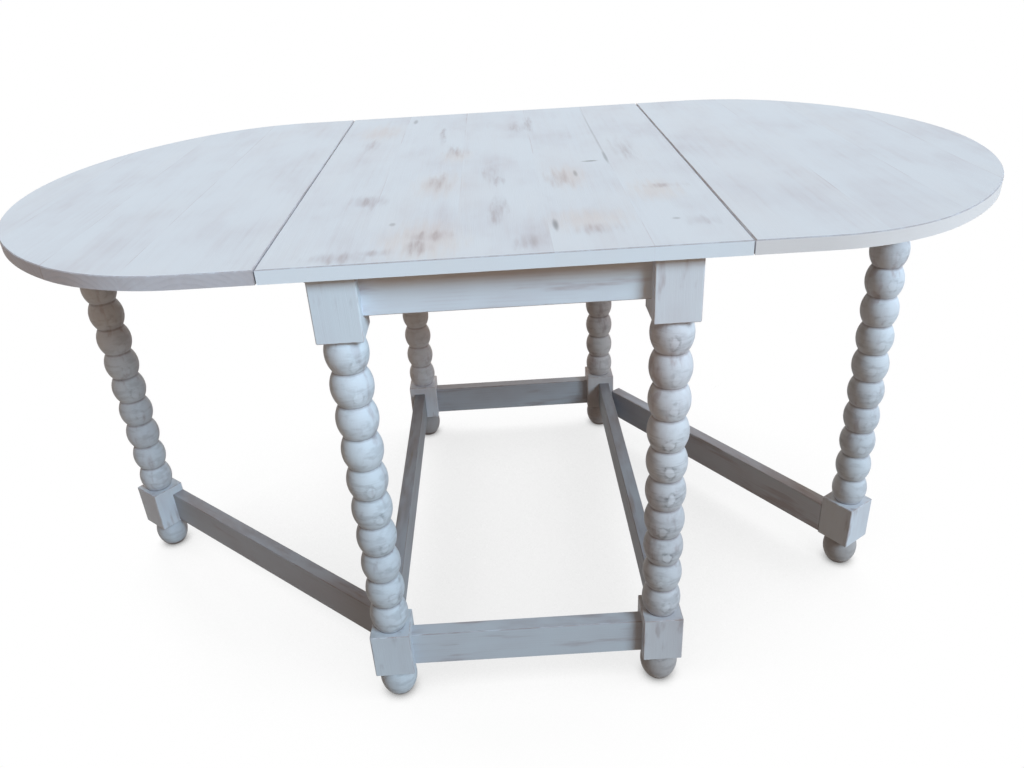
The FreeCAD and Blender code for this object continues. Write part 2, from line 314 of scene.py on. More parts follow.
# %% Marks on the centre top
halos = [
    ((-0.105, -0.375), (0.060, 0.090), 1.00),
    ((-0.095, -0.115), (0.040, 0.085), 0.80),
    ((0.112, -0.330), (0.060, 0.055), 0.80),
    ((0.105, -0.110), (0.032, 0.075), 0.90),
    ((0.222, -0.210), (0.045, 0.060), 0.80),
    ((-0.072, 0.070), (0.032, 0.065), 0.70),
    ((-0.230, 0.300), (0.050, 0.085), 0.60),
]
smudges = [
    ((-0.110, -0.405), (0.020, 0.034), 1.00),
    ((-0.095, -0.362), (0.036, 0.024), 0.65),
    ((-0.095, -0.105), (0.024, 0.055), 0.75),
    ((-0.003, -0.108), (0.012, 0.030), 1.00),
    ((-0.010, -0.070), (0.022, 0.055), 0.55),
    ((-0.004, -0.258), (0.014, 0.070), 0.85),
    ((-0.190, -0.185), (0.034, 0.032), 0.75),
    ((-0.232, 0.190), (0.014, 0.055), 0.65),
    ((-0.102, 0.235), (0.008, 0.070), 0.85),
    ((-0.073, 0.100), (0.022, 0.045), 0.75),
    ((0.037, 0.272), (0.010, 0.060), 0.85),
    ((0.062, 0.300), (0.014, 0.065), 0.70),
    ((0.033, -0.405), (0.024, 0.034), 0.65),
    ((-0.205, -0.426), (0.040, 0.022), 0.75),
    ((-0.160, -0.415), (0.034, 0.014), 0.60),
    ((0.092, -0.118), (0.022, 0.055), 0.60),
    ((0.125, -0.370), (0.036, 0.024), 0.60),
    ((0.236, -0.190), (0.040, 0.014), 0.65),
    ((0.258, -0.362), (0.026, 0.022), 0.70),
    ((0.215, 0.060), (0.022, 0.085), 0.55),
]
cuts = [
    ((0.149, -0.022), (0.014, 0.004), 1.20),
    ((0.069, -0.345), (0.0045, 0.026), 1.00),
    ((0.119, -0.095), (0.0035, 0.022), 0.70),
    ((0.178, 0.000), (0.003, 0.045), 0.75),
    ((0.178, 0.200), (0.002, 0.210), 0.45),
    ((-0.165, 0.390), (0.005, 0.024), 0.65),
    ((0.227, -0.348), (0.006, 0.005), 0.55),
    ((-0.148, -0.303), (0.005, 0.008), 0.55),
]
oval_reach = 1.25
rim_scales = (110.0, 14.0, 14.0)


def make_oval():
    inputs = [("Point", "Vector"), ("Middle", "Vector"), ("Half Size", "Vector")]
    inputs += [("Rim", "Float"), ("Core", "Float")]
    tree, given, outlet = new_group("ragged_oval", inputs, [("Mask", "Float")])
    offset = vector(tree, "SUBTRACT", given["Point"], given["Middle"])
    distance = length(tree, vector(tree, "DIVIDE", offset, given["Half Size"]))
    ragged = calc(tree, "ADD", distance, given["Rim"])
    put_out(tree, outlet, Mask=rise(tree, ragged, oval_reach, given["Core"]))
    return tree


def make_place_map(name, places, ragged, core):
    tree, given, outlet = new_group(name, [("Point", "Vector")], [("Mask", "Float")])
    flat = vector(tree, "MULTIPLY", given["Point"], (1.0, 1.0, 0.0))
    rough = calc(tree, "SUBTRACT", noise(tree, flat, rim_scales, 5.0), 0.5)
    rim = calc(tree, "MULTIPLY", rough, ragged)
    total = None
    for middle, half_size, strength in places:
        sockets = {"Point": flat, "Middle": (*middle, 0.0), "Half Size": (*half_size, 1.0)}
        sockets |= {"Rim": rim, "Core": core}
        mask = calc(tree, "MULTIPLY", fill_group(tree, ragged_oval, sockets)["Mask"], strength)
        total = mask if total is None else calc(tree, "MAXIMUM", total, mask)
    put_out(tree, outlet, Mask=total)
    return tree


ragged_oval = make_oval()
halo_map = make_place_map("halo_map", halos, 1.2, 0.0)
smudge_map = make_place_map("smudge_map", smudges, 2.2, 0.1)
cut_map = make_place_map("cut_map", cuts, 0.7, 0.3)
print(len(halos), "halos,", len(smudges), "smudges and", len(cuts), "cuts")

# %% [markdown]
# ## Washed pine, piece by piece
# Each piece was cut from its own place in a log, so each gets its own material: the same recipe with
# its own heart line and grain direction. A Mapping node turns table coordinates into the log's, with X
# along the grain. What differs between boards, rails and legs is only where they wear.

# %% Colours of the finish
pine_brown = linear(160, 134, 116)
wash_white = linear(216, 226, 236)
wash_thin = linear(199, 201, 211)
ALONG_X = (0.0, 0.0, 0.0)
ALONG_Y = (0.0, 0.0, math.radians(90))
ALONG_Z = (0.0, math.radians(-90), 0.0)
ring_contrast = 0.045
cloud_bleed = 0.13
relief_strength = 0.25
relief_depth = 0.0008


def start_material(name):
    material = bpy.data.materials.new(name)
    material.use_nodes = True
    tree = material.node_tree
    tree.nodes.clear()
    shader = tree.nodes.new("ShaderNodeBsdfPrincipled")
    surface = tree.nodes.new("ShaderNodeOutputMaterial")
    tree.links.new(shader.outputs[0], surface.inputs["Surface"])
    return material, tree, shader


def finish_pine(tree, shader, point, ring_width, wear, coverage, tints):
    # The tints hold real grime and bleed together with painted shade, painted light and painted warm shade
    grime_and_shading, bleed_and_warm_shade = tints
    clouds = rise(tree, noise(tree, point, (3.0, 9.0, 9.0)), 0.45, 0.75)
    bleed_and_warm_shade = laid_over(tree, bleed_and_warm_shade, (clouds, cloud_bleed))
    figure = fill_group(tree, pine_figure, {"Point": point, "Ring Width": ring_width})
    sockets = {"Point": point, "Latewood": figure["Latewood"], "Fibre": figure["Fibre"]}
    sockets |= {"Coverage": coverage, "Wear": wear, "Figure": ring_contrast}
    sockets |= {"Grime And Shading": grime_and_shading, "Bleed And Warm Shade": bleed_and_warm_shade}
    sockets |= {"Wood": pine_brown, "Wash": wash_white, "Thin Wash": wash_thin}
    washed = fill_group(tree, white_wash, sockets)
    sockets = {"Height": washed["Height"], "Strength": relief_strength, "Distance": relief_depth}
    relief = add(tree, "Bump", sockets)
    tree.links.new(washed["Colour"], shader.inputs["Base Color"])
    tree.links.new(washed["Roughness"], shader.inputs["Roughness"])
    tree.links.new(relief.outputs["Normal"], shader.inputs["Normal"])


def log_point(tree, coordinates, heart, turn):
    sockets = {"Vector": coordinates, "Location": heart, "Rotation": turn}
    return add(tree, "Mapping", sockets, vector_type="TEXTURE").outputs["Vector"]


def log_facing(tree, normal, turn):
    sockets = {"Vector": normal, "Rotation": turn}
    return add(tree, "Mapping", sockets, vector_type="TEXTURE").outputs["Vector"]


print("three colours make the finish")

# %% [markdown]
# ## Boards of the top and leaves
# The top and the leaves are boards glued edge to edge, all with the grain running front to back. The
# wash has rubbed off along the softened edges, and here and there a joint has opened a little and
# shows as a fine line. The underside was never washed. The normal tells top, edge and underside
# apart, and the distance to the board's own sides finds its joints, so no mask is painted by hand.
# The edges have a finish of their own, because end grain drinks the wash in, and the edges of the top
# and the right leaf are also painted lighter as light.

# %% Wear of a board
arris_wear = 0.36
arris_grime = 0.3
seam_wear = 0.22
seam_edge = 0.0016
seam_middle = 0.0002


def board_wear(tree, place, point, sides):
    up = parts_of(tree, place["Normal"])["Z"]
    arris = band(tree, calc(tree, "ABSOLUTE", up), 0.1, 0.5, 0.85, 0.97)
    patchy = rise(tree, noise(tree, point, (25.0, 60.0, 60.0), 3.0), 0.25, 0.6)
    rubbed = calc(tree, "MULTIPLY", laid_over(tree, 0.5, (patchy, 0.5)), arris)
    across = parts_of(tree, place["Object"])["X"]
    from_left = calc(tree, "SUBTRACT", across, sides[0])
    from_right = calc(tree, "SUBTRACT", sides[1], across)
    from_seam = calc(tree, "MINIMUM", from_left, from_right)
    opened = rise(tree, noise(tree, point, (5.0, 2.0, 2.0)), 0.48, 0.6)
    seam = calc(tree, "MULTIPLY", rise(tree, from_seam, seam_edge, seam_middle), opened)
    worn_arris = calc(tree, "MULTIPLY", rubbed, arris_wear)
    wear = calc(tree, "MAXIMUM", worn_arris, calc(tree, "MULTIPLY", seam, seam_wear))
    underside = rise(tree, up, -0.3, -0.8)
    return calc(tree, "MAXIMUM", wear, underside), calc(tree, "MULTIPLY", rubbed, arris_grime), up


def centre_marks(tree, place, point, up):
    above = rise(tree, up, 0.5, 0.9)
    halo, smudge, cut = [
        calc(tree, "MULTIPLY", fill_group(tree, group, {"Point": place["Object"]})["Mask"], above)
        for group in (halo_map, smudge_map, cut_map)
    ]
    streak = rise(tree, noise(tree, point, (7.0, 60.0, 60.0), 3.0), 0.38, 0.64)
    smudge = calc(tree, "MULTIPLY", smudge, laid_over(tree, 0.3, (streak, 0.7)))
    return halo, smudge, cut


print("a joint's line is up to", seam_edge * 1000, "mm wide on each board")

# %% Dressing the boards
board_ring_width = 0.0075
board_coverage = 1.06
smudge_wear = 0.36
smudge_grime = 0.28
halo_bleed = 0.9
most_bleed = 0.65
# Coverage, grime and bleed that the edges have more of than the faces, or less of where below zero,
# and grime below zero is painted light
edge_finishes = {"top": (0.2, -0.3, 0.2), "left": (-0.34, 0.0, 0.0), "right": (0.1, -0.25, 1.0)}


def board_material(name, heart, sides, edge_finish):
    material, tree, shader = start_material(name)
    place = tree.nodes.new("ShaderNodeTexCoord").outputs
    point = log_point(tree, place["Object"], heart, ALONG_Y)
    wear, rubbed_in, up = board_wear(tree, place, point, sides)
    grime_and_shading, bleed_and_warm_shade = 0.0, 0.0
    if name.startswith("washed_top"):
        halo, smudge, cut = centre_marks(tree, place, point, up)
        wear = calc(tree, "MAXIMUM", wear, calc(tree, "MULTIPLY", smudge, smudge_wear))
        grime_and_shading = laid_over(tree, cut, (smudge, smudge_grime))
        bleed_and_warm_shade = calc(tree, "MINIMUM", calc(tree, "MULTIPLY", halo, halo_bleed), most_bleed)
    edge = rise(tree, calc(tree, "ABSOLUTE", up), 0.4, 0.1)
    edge_coverage, edge_painted_shading, edge_bleed = edge_finish
    coverage = laid_over(tree, board_coverage, (edge, edge_coverage))
    # Edge grime below zero brightens the edge: painted light
    grime_and_shading = calc(tree, "ADD", grime_and_shading, laid_over(tree, rubbed_in, (edge, edge_painted_shading)))
    bleed_and_warm_shade = laid_over(tree, bleed_and_warm_shade, (edge, edge_bleed))
    finish_pine(tree, shader, point, board_ring_width, wear, coverage, (grime_and_shading, bleed_and_warm_shade))
    return material


def dress(node_name, material):
    for slot in nodes[node_name].material_slots:
        slot.material = material


chance = random.Random(7)
board_names = [name for name in nodes if "_board_" in name]
for name in sorted(board_names):
    low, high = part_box(name)
    heart_x = (low.x + high.x) / 2 + chance.uniform(-0.03, 0.03)
    heart = (heart_x, chance.uniform(-5.0, 5.0), low.z - chance.uniform(0.03, 0.12))
    edge_finish = edge_finishes[name.split("_")[0]]
    dress(name, board_material("washed_" + name, heart, (low.x, high.x), edge_finish))
print("boards dressed:", len(board_names))

# %% [markdown]
# ## Rails, aprons and stretchers
# These are plain planed bars with a small chamfer on their long edges. Shoes and brooms have scuffed the
# upper faces of the stretchers, and the stretchers and side rails are painted darker, partly as dust and
# partly as shade under the table, while the aprons are painted a little lighter as light and carry a band
# of painted warm shade close under the top. The inner sides of aprons and side rails are bare. One recipe
# makes them all, with a short line of numbers for each piece, because one joiner finished them alike.

# %% Finish of a rail
rail_ring_width = 0.005
rail_edge_wear = 0.4
scuff_wear = 0.26
rail_streak_wear = 0.3
warm_band_from = 0.705
warm_band_full = 0.738


def rail_material(name, heart, turn, finish, bare_side):
    coverage, grime_and_shading, painted_warm_band = finish
    material, tree, shader = start_material(name)
    place = tree.nodes.new("ShaderNodeTexCoord").outputs
    point = log_point(tree, place["Object"], heart, turn)
    facing = log_facing(tree, place["Normal"], turn)
    edges = fill_group(tree, worn_edges, {"Facing": facing, "Point": point})["Wear"]
    upper = rise(tree, parts_of(tree, place["Normal"])["Z"], 0.5, 0.9)
    patchy = rise(tree, noise(tree, point, (9.0, 30.0, 30.0), 3.0), 0.4, 0.7)
    scuffed = calc(tree, "MULTIPLY", calc(tree, "MULTIPLY", upper, patchy), scuff_wear)
    wear = calc(tree, "MAXIMUM", calc(tree, "MULTIPLY", edges, rail_edge_wear), scuffed)
    inside = rise(tree, along(tree, place["Normal"], bare_side), 0.5, 0.9)
    streak = rise(tree, noise(tree, point, (7.0, 45.0, 45.0), 3.0), 0.56, 0.72)
    wear = calc(tree, "MAXIMUM", laid_over(tree, wear, (streak, rail_streak_wear)), inside)
    height = parts_of(tree, place["Object"])["Z"]
    # Painted warm shade in a band close under the top, for the overhang's shade and warm bounce
    bleed_and_warm_shade = calc(tree, "MULTIPLY", rise(tree, height, warm_band_from, warm_band_full), painted_warm_band)
    finish_pine(tree, shader, point, rail_ring_width, wear, coverage, (grime_and_shading, bleed_and_warm_shade))
    return material


def bare_inside(name, middle):
    # Aprons and side rails were never washed on the side that looks inwards
    if name.startswith("apron"):
        return (0.0, -math.copysign(1.0, middle.y), 0.0)
    if name.startswith("side_rail"):
        return (-math.copysign(1.0, middle.x), 0.0, 0.0)
    return (0.0, 0.0, 0.0)


# The aprons' warm band under the top is painted warm shade
print("aprons yellow from", warm_band_from, "m up")

# %% Dressing the rails
# Coverage, darkening (dust and painted shade, painted light below zero), and painted warm shade close under
# the top
apron_finish = (1.0, -0.13, 1.0)
plain_rail_finish = (0.9, 1.15, 0.0)
rail_finishes = {
    "apron_front": apron_finish,
    "apron_back": apron_finish,
    "stretcher_front": (1.0, 0.65, 0.0),
    "stretcher_back": (0.9, 0.65, 0.0),
    "left_gate_stretcher": (0.9, 0.9, 0.0),
    "right_gate_stretcher": (0.9, 0.52, 0.0),
    "screw_blocks": (0.0, 0.0, 0.0),
}
# A gate's range starts at its folded place, so it tells how far the gate stands open
openings = {}
for joint in frame["joints"]:
    if "gate" in joint["name"]:
        openings[joint["name"].split("_")[0]] = -joint["range_deg"][0]
gate_turns = {side: math.radians(90 + opening) for side, opening in openings.items()}
rail_kinds = ("apron", "stretcher", "side", "screw")
rail_names = [name for name in nodes if name.split("_")[0] in rail_kinds]
rail_names += [name for name in nodes if "gate_rail" in name or "gate_stretcher" in name]
for name in sorted(rail_names):
    low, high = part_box(name)
    size = high - low
    turn = ALONG_X if size.x > size.y else ALONG_Y
    if "gate" in name:
        turn = (0.0, 0.0, gate_turns[name.split("_")[0]])
    middle = (low + high) / 2
    shift = [chance.uniform(-0.04, 0.04), chance.uniform(-0.04, 0.04), chance.uniform(-0.09, -0.05)]
    finish = rail_finishes.get(name, plain_rail_finish)
    bare_side = bare_inside(name, middle)
    dress(name, rail_material("washed_" + name, middle + Vector(shift), turn, finish, bare_side))
print("rails dressed:", len(rail_names))

# %% [markdown]
# ## Bull's-eyes on the beads
# Where a turned bead bulges out of a flat-sawn billet, the rings close to small eyes, all on the same
# side of the leg. The wash has been wiped thin there, so an eye shows as a pale middle with a broken grey
# rim, and fine grey lines run out to both sides. The group measures how far a point is from the middle of
# its bead's eye. A random number for each bead shifts its eye a little and makes some of them fainter.

# %% Bull's-eyes on the beads
# Radii in metres where a ring of grey starts, is full, fades and ends
eye_rim = (0.0050, 0.0070, 0.0075, 0.0110)
eye_lens = (0.006, 0.010, 0.011, 0.016)
lens_depth = 0.4
grain_depth = 0.55
pale_depth = 0.5


def eye_distances(tree, offset, aside, lift):
    # Two ragged distances from the middle of the eye: a near round one and a wide flat one
    wobble = calc(tree, "SUBTRACT", noise(tree, offset, (70.0, 70.0, 70.0), 3.0), 0.5)
    distances = []
    for aside_share, lift_share, raggedness in ((1.0, 0.75, 0.014), (0.55, 1.3, 0.018)):
        flat = calc(tree, "MULTIPLY", aside, aside_share)
        tall = calc(tree, "MULTIPLY", lift, lift_share)
        distance = length(tree, add(tree, "CombineXYZ", {0: flat, 1: tall}).outputs[0])
        distances.append(laid_over(tree, distance, (wobble, raggedness)))
    return distances


def make_bead_eyes():
    inputs = [("Offset", "Vector"), ("Toward", "Vector"), ("Aside", "Vector")]
    inputs += [("First Bead", "Float"), ("Pitch", "Float"), ("Seed", "Float")]
    tree, given, outlet = new_group("bead_eyes", inputs, [("Mark", "Float")])
    offset = given["Offset"]
    climb = calc(tree, "SUBTRACT", parts_of(tree, offset)["Z"], given["First Bead"])
    beads_up = calc(tree, "DIVIDE", climb, given["Pitch"])
    bead = calc(tree, "ADD", calc(tree, "FLOOR", beads_up), given["Seed"])
    chances = add(tree, "TexWhiteNoise", {"W": bead}, noise_dimensions="1D").outputs["Color"]
    luck = parts_of(tree, chances)
    shift = calc(tree, "MULTIPLY_ADD", luck["X"], 0.014, -0.007)
    aside = calc(tree, "ADD", along(tree, offset, given["Aside"]), shift)
    middle = calc(tree, "MULTIPLY_ADD", luck["Y"], 0.2, 0.28)
    share = calc(tree, "SUBTRACT", calc(tree, "FRACT", beads_up), middle)
    lift = calc(tree, "MULTIPLY", share, given["Pitch"])
    near, wide = eye_distances(tree, offset, aside, lift)
    rings = laid_over(tree, band(tree, near, *eye_rim), (band(tree, wide, *eye_lens), lens_depth))
    patchy = rise(tree, noise(tree, offset, (110.0, 110.0, 150.0), 3.0), 0.4, 0.6)
    rings = calc(tree, "MULTIPLY", rings, laid_over(tree, 0.1, (patchy, 0.9)))
    grain = rise(tree, noise(tree, offset, (35.0, 35.0, 300.0), 2.0), 0.54, 0.68)
    grain = calc(tree, "MULTIPLY", grain, rise(tree, wide, 0.035, 0.012))
    pale = rise(tree, near, 0.0070, 0.0040)
    eye = laid_over(tree, rings, (grain, grain_depth), (pale, -pale_depth))
    shown = calc(tree, "MULTIPLY", rise(tree, luck["Z"], -0.4, 0.7), rise(tree, climb, -0.3, 0.3))
    ahead = along(tree, offset, given["Toward"])
    shown = calc(tree, "MULTIPLY", shown, rise(tree, ahead, 0.004, 0.014))
    put_out(tree, outlet, Mark=calc(tree, "MULTIPLY", eye, shown))
    return tree


bead_eyes = make_bead_eyes()
print("group", bead_eyes.name, "with", len(bead_eyes.nodes), "nodes")

# %% [markdown]
# ## Turned legs
# The wash stays longest on the bellies of the beads, a little blotchy from the brush. It is thin in the
# grooves, which are also painted darker as shade, on the edges of the square blocks, and at the foot's
# tread. A distance from the leg's own axis finds the grooves, and heights tell blocks from beads. Each leg
# is painted darker towards the floor as shade, some legs are painted lighter as light, and some feet are
# darker and browner than their legs.

# %% Where a leg wears
foot_top = 0.058
beads_bottom = 0.141
beads_top = 0.650
bead_count = 10
bead_pitch = (beads_top - beads_bottom) / bead_count
groove_radius = 0.022
groove_reach = 0.0022


def leg_zones(tree, offset):
    # The height above the floor, and masks of the foot, the square blocks, the turned parts and the grooves
    radius = length(tree, vector(tree, "MULTIPLY", offset, (1.0, 1.0, 0.0)))
    height = parts_of(tree, offset)["Z"]
    above_foot = calc(tree, "GREATER_THAN", height, foot_top)
    below_beads = calc(tree, "LESS_THAN", height, beads_bottom)
    lower_block = calc(tree, "MULTIPLY", above_foot, below_beads)
    block = calc(tree, "MAXIMUM", lower_block, calc(tree, "GREATER_THAN", height, beads_top))
    turned = calc(tree, "SUBTRACT", 1.0, block)
    near_groove = rise(tree, radius, groove_radius + groove_reach, groove_radius)
    groove = calc(tree, "MULTIPLY", near_groove, turned)
    return height, calc(tree, "SUBTRACT", 1.0, above_foot), block, turned, groove


print(bead_count, "beads, each", round(bead_pitch * 1000, 1), "mm high")


# %% Finish of a turned leg
def leg_eyes(tree, offset, bearing, toward):
    sockets = {"Offset": offset, "Toward": toward, "Aside": (-toward.y, toward.x, 0.0)}
    sockets |= {"First Bead": beads_bottom, "Pitch": bead_pitch, "Seed": math.degrees(bearing)}
    return fill_group(tree, bead_eyes, sockets)["Mark"]


leg_ring_width = 0.0062
heart_distance = 0.055
tread_wear = 0.6
groove_wear = 0.2
# Painted shade that darkens the grooves between the beads
groove_painted_shade = 0.4
block_edge_wear = 0.4
leg_streak_wear = 0.2
leg_streak_grime = 0.15
blotch_depth = 0.27
foot_dark_share = 1.1
foot_dark_patch = -0.25


def leg_material(name, axis, log, finish, tints):
    coverage, high_painted_shading, low_painted_shading, bleed_and_warm_shade = finish
    foot_darkening, foot_yellowing = tints
    bearing, quarter_turn, eye_strength = log
    material, tree, shader = start_material(name)
    place = tree.nodes.new("ShaderNodeTexCoord").outputs
    toward = Vector((math.cos(bearing), math.sin(bearing), 0.0))
    point = log_point(tree, place["Object"], axis - heart_distance * toward, ALONG_Z)
    offset = vector(tree, "SUBTRACT", place["Object"], axis)
    height, foot, block, turned, groove = leg_zones(tree, offset)
    facing = log_facing(tree, place["Normal"], (0.0, 0.0, quarter_turn))
    edges = fill_group(tree, worn_edges, {"Facing": facing, "Point": point})["Wear"]
    edges = calc(tree, "MULTIPLY", edges, block)
    eyes = calc(tree, "MULTIPLY", leg_eyes(tree, offset, bearing, toward), turned)
    streak = rise(tree, noise(tree, point, (16.0, 60.0, 60.0), 3.0), 0.56, 0.74)
    blotch = rise(tree, noise(tree, offset, (40.0, 40.0, 95.0), 4.0), 0.47, 0.66)
    tread = calc(tree, "MULTIPLY", rise(tree, height, 0.012, 0.001), tread_wear)
    layers = [(groove, groove_wear), (edges, block_edge_wear), (streak, leg_streak_wear)]
    wear = laid_over(tree, tread, *layers)
    # Painted shade: the leg darkens towards the floor, and shading below zero is painted light
    painted_low_shade = rise(tree, height, 0.66, 0.25)
    layers = [(painted_low_shade, low_painted_shading - high_painted_shading), (groove, groove_painted_shade), (streak, leg_streak_grime)]
    layers += [(eyes, eye_strength), (calc(tree, "MULTIPLY", blotch, turned), blotch_depth)]
    darker_foot = calc(tree, "MULTIPLY", foot, laid_over(tree, foot_dark_share, (blotch, foot_dark_patch)))
    grime_and_shading = laid_over(tree, high_painted_shading, *layers, (darker_foot, foot_darkening))
    bleed_and_warm_shade = laid_over(tree, bleed_and_warm_shade, (foot, foot_yellowing))
    finish_pine(tree, shader, point, leg_ring_width, wear, coverage, (grime_and_shading, bleed_and_warm_shade))
    return material


print("rings of", leg_ring_width * 1000, "mm in the legs")

# %% Dressing the legs
# Each leg: the way its eyes look, in degrees, and their strength; coverage, painted shading high and low
# (painted shade above zero, painted light below), and bleed, on the back legs partly painted warm shade
leg_logs = {
    "leg_front_left": (-69.0, 0.30, 1.08, 0.02, 0.55, 0.0),
    "leg_front_right": (-91.0, 0.60, 0.98, -0.18, 0.48, 0.35),
    "leg_back_left": (-60.0, 0.20, 1.00, -0.45, -0.25, 0.3),
    "leg_back_right": (-120.0, 0.20, 0.95, 0.08, 0.38, 0.9),
    "left_gate_leg": (-50.0, 0.20, 1.00, -0.20, 0.32, 0.0),
    "right_gate_leg": (-95.0, 0.24, 1.02, -0.18, 0.32, 0.15),
}
# How much darker and yellower each foot is, on top of its leg's
foot_tones = {
    "leg_front_left": (0.08, 0.0),
    "leg_front_right": (0.40, 0.6),
    "leg_back_left": (1.05, 0.7),
    "leg_back_right": (0.2, 0.1),
    "left_gate_leg": (0.22, 0.0),
    "right_gate_leg": (0.52, 0.85),
}
for name, (bearing, eye_strength, *finish) in leg_logs.items():
    low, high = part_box(name)
    axis = (low + high) / 2
    axis.z = 0.0
    quarter_turn = gate_turns[name.split("_")[0]] if "gate" in name else 0.0
    log = (math.radians(bearing), quarter_turn, eye_strength)
    dress(name, leg_material("washed_" + name, axis, log, finish, foot_tones[name]))
print("legs dressed:", len(leg_logs))

# %% [markdown]
# ## Hinge steel
# The hinges are plain pressed steel that has gone dull. Most of it is grey with a soft sheen, and the
# rust comes up in small brown blooms that are rougher and no longer metallic.


# %% Hinge steel
def hinge_steel_material():
    material, tree, shader = start_material("dull_hinge_steel")
    point = tree.nodes.new("ShaderNodeTexCoord").outputs["Object"]
    bloom = rise(tree, noise(tree, point, (160.0, 160.0, 160.0), 6.0), 0.46, 0.72)
    scratch = noise(tree, point, (40.0, 900.0, 300.0), 2.0)
    steel = mixed(tree, scratch, linear(92, 90, 88), linear(122, 120, 117))
    tree.links.new(mixed(tree, bloom, steel, linear(92, 68, 52)), shader.inputs["Base Color"])
    tree.links.new(calc(tree, "MULTIPLY_ADD", bloom, -0.7, 0.85), shader.inputs["Metallic"])
    tree.links.new(calc(tree, "MULTIPLY_ADD", bloom, 0.3, 0.5), shader.inputs["Roughness"])
    relief = add(tree, "Bump", {"Height": bloom, "Strength": 0.2, "Distance": 0.0003})
    tree.links.new(relief.outputs["Normal"], shader.inputs["Normal"])
    return material


hinge_steel = hinge_steel_material()
steel_names = [name for name in nodes if name.endswith("flaps") or name.endswith("pins")]
for name in steel_names:
    dress(name, hinge_steel)
print("steel pieces dressed:", len(steel_names))

# %% [markdown]
# ## Screws
# Every hinge flap and every block under the top is held by plain slotted wood screws. A maker drives
# them by hand, so no two slots point the same way. Geometry Nodes suit this: one head is made once, a
# cone with a slot cut out of it, and set on a list of points that carry the way each screw looks. A
# random turn with a fixed seed sets the slots. Realize Instances makes it a plain mesh for the export.


# %% Screws as a node tree
def make_slotted_screws():
    tree = bpy.data.node_groups.new("slotted_screws", "GeometryNodeTree")
    tree.interface.new_socket("Places", in_out="INPUT", socket_type="NodeSocketGeometry")
    inputs = [("Head Radius", "Float"), ("Head Height", "Float"), ("Slot Width", "Float")]
    inputs += [("Seed", "Int"), ("Steel", "Material")]
    for label, kind in inputs:
        tree.interface.new_socket(label, in_out="INPUT", socket_type="NodeSocket" + kind)
    tree.interface.new_socket("Screws", in_out="OUTPUT", socket_type="NodeSocketGeometry")
    given = tree.nodes.new("NodeGroupInput").outputs
    head = screw_head(tree, given)
    sockets = {"Name": "facing"}
    facing = add(tree, "InputNamedAttribute", sockets, "GeometryNode", data_type="FLOAT_VECTOR")
    aimed = add(tree, "AlignRotationToVector", {"Vector": facing.outputs[0]}, "FunctionNode", axis="Z")
    sockets = {2: 0.0, 3: math.pi, "Seed": given["Seed"]}
    turn = add(tree, "RandomValue", sockets, "FunctionNode", data_type="FLOAT")
    sockets = {"Axis": (0, 0, 1), "Angle": turn.outputs[1]}
    spin = add(tree, "AxisAngleToRotation", sockets, "FunctionNode")
    sockets = {"Rotation": aimed.outputs[0], "Rotate By": spin.outputs[0]}
    driven = add(tree, "RotateRotation", sockets, "FunctionNode", rotation_space="LOCAL")
    sockets = {"Points": given["Places"], "Instance": head, "Rotation": driven.outputs[0]}
    heads = add(tree, "InstanceOnPoints", sockets, "GeometryNode").outputs[0]
    plain = add(tree, "RealizeInstances", {0: heads}, "GeometryNode").outputs[0]
    steel = add(tree, "SetMaterial", {"Geometry": plain, "Material": given["Steel"]}, "GeometryNode")
    tree.links.new(steel.outputs[0], tree.nodes.new("NodeGroupOutput").inputs["Screws"])
    return tree


head_corners = 20
crown_share = 0.82
slot_reach_share = 3.0


def screw_head(tree, given):
    crown = calc(tree, "MULTIPLY", given["Head Radius"], crown_share)
    sockets = {"Vertices": head_corners, "Radius Top": crown, "Radius Bottom": given["Head Radius"]}
    sockets["Depth"] = given["Head Height"]
    cone = add(tree, "MeshCone", sockets, "GeometryNode").outputs["Mesh"]
    reach = calc(tree, "MULTIPLY", given["Head Radius"], slot_reach_share)
    sockets = {"X": reach, "Y": given["Slot Width"], "Z": given["Head Height"]}
    size = add(tree, "CombineXYZ", sockets).outputs[0]
    cutter = add(tree, "MeshCube", {"Size": size}, "GeometryNode").outputs["Mesh"]
    lift = add(tree, "CombineXYZ", {"Z": given["Head Height"]}).outputs[0]
    sockets = {"Geometry": cutter, "Translation": lift}
    cutter = add(tree, "Transform", sockets, "GeometryNode").outputs[0]
    sockets = {"Mesh 1": cone, "Mesh 2": cutter}
    slotted = add(tree, "MeshBoolean", sockets, "GeometryNode", operation="DIFFERENCE")
    return slotted.outputs["Mesh"]


slotted_screws = make_slotted_screws()
print("group", slotted_screws.name, "with", len(slotted_screws.nodes), "nodes")

# %% [markdown]
# ## Where the screws go
# Each flap of a leaf hinge takes three screws from below, each flap of a gate hinge two from the side,
# and each block under the top one from below. The places could be typed one by one, but the frame and
# its hinges are the same after half a turn about the middle, so only one half is listed and the other
# is turned from it. A gate's screws are listed with the gate folded, and swung out as far as it stands.

# %% Screws of the leaf hinges and the blocks
DOWN = Vector((0.0, 0.0, -1.0))
leaf_axis_x = 0.301
leaf_hinge_ys = (-0.385, 0.0, 0.385)
flap_under = 0.741
flap_spots = ((0.016, -0.021), (0.016, 0.021), (0.027, 0.0))
block_under = 0.717
block_spots = ((0.095, -0.3815), (-0.095, -0.3815), (0.199, 0.15), (0.199, -0.15))

right_top, right_leaf = [], []
for y in leaf_hinge_ys:
    for out, side in flap_spots:
        right_top.append((Vector((leaf_axis_x - out, y + side, flap_under)), DOWN))
        right_leaf.append((Vector((leaf_axis_x + out, y + side, flap_under)), DOWN))
blocks = [(Vector((x, y, block_under)), DOWN) for x, y in block_spots]
print(len(right_top), "screws in one side's top flaps,", len(blocks), "in half of the blocks")

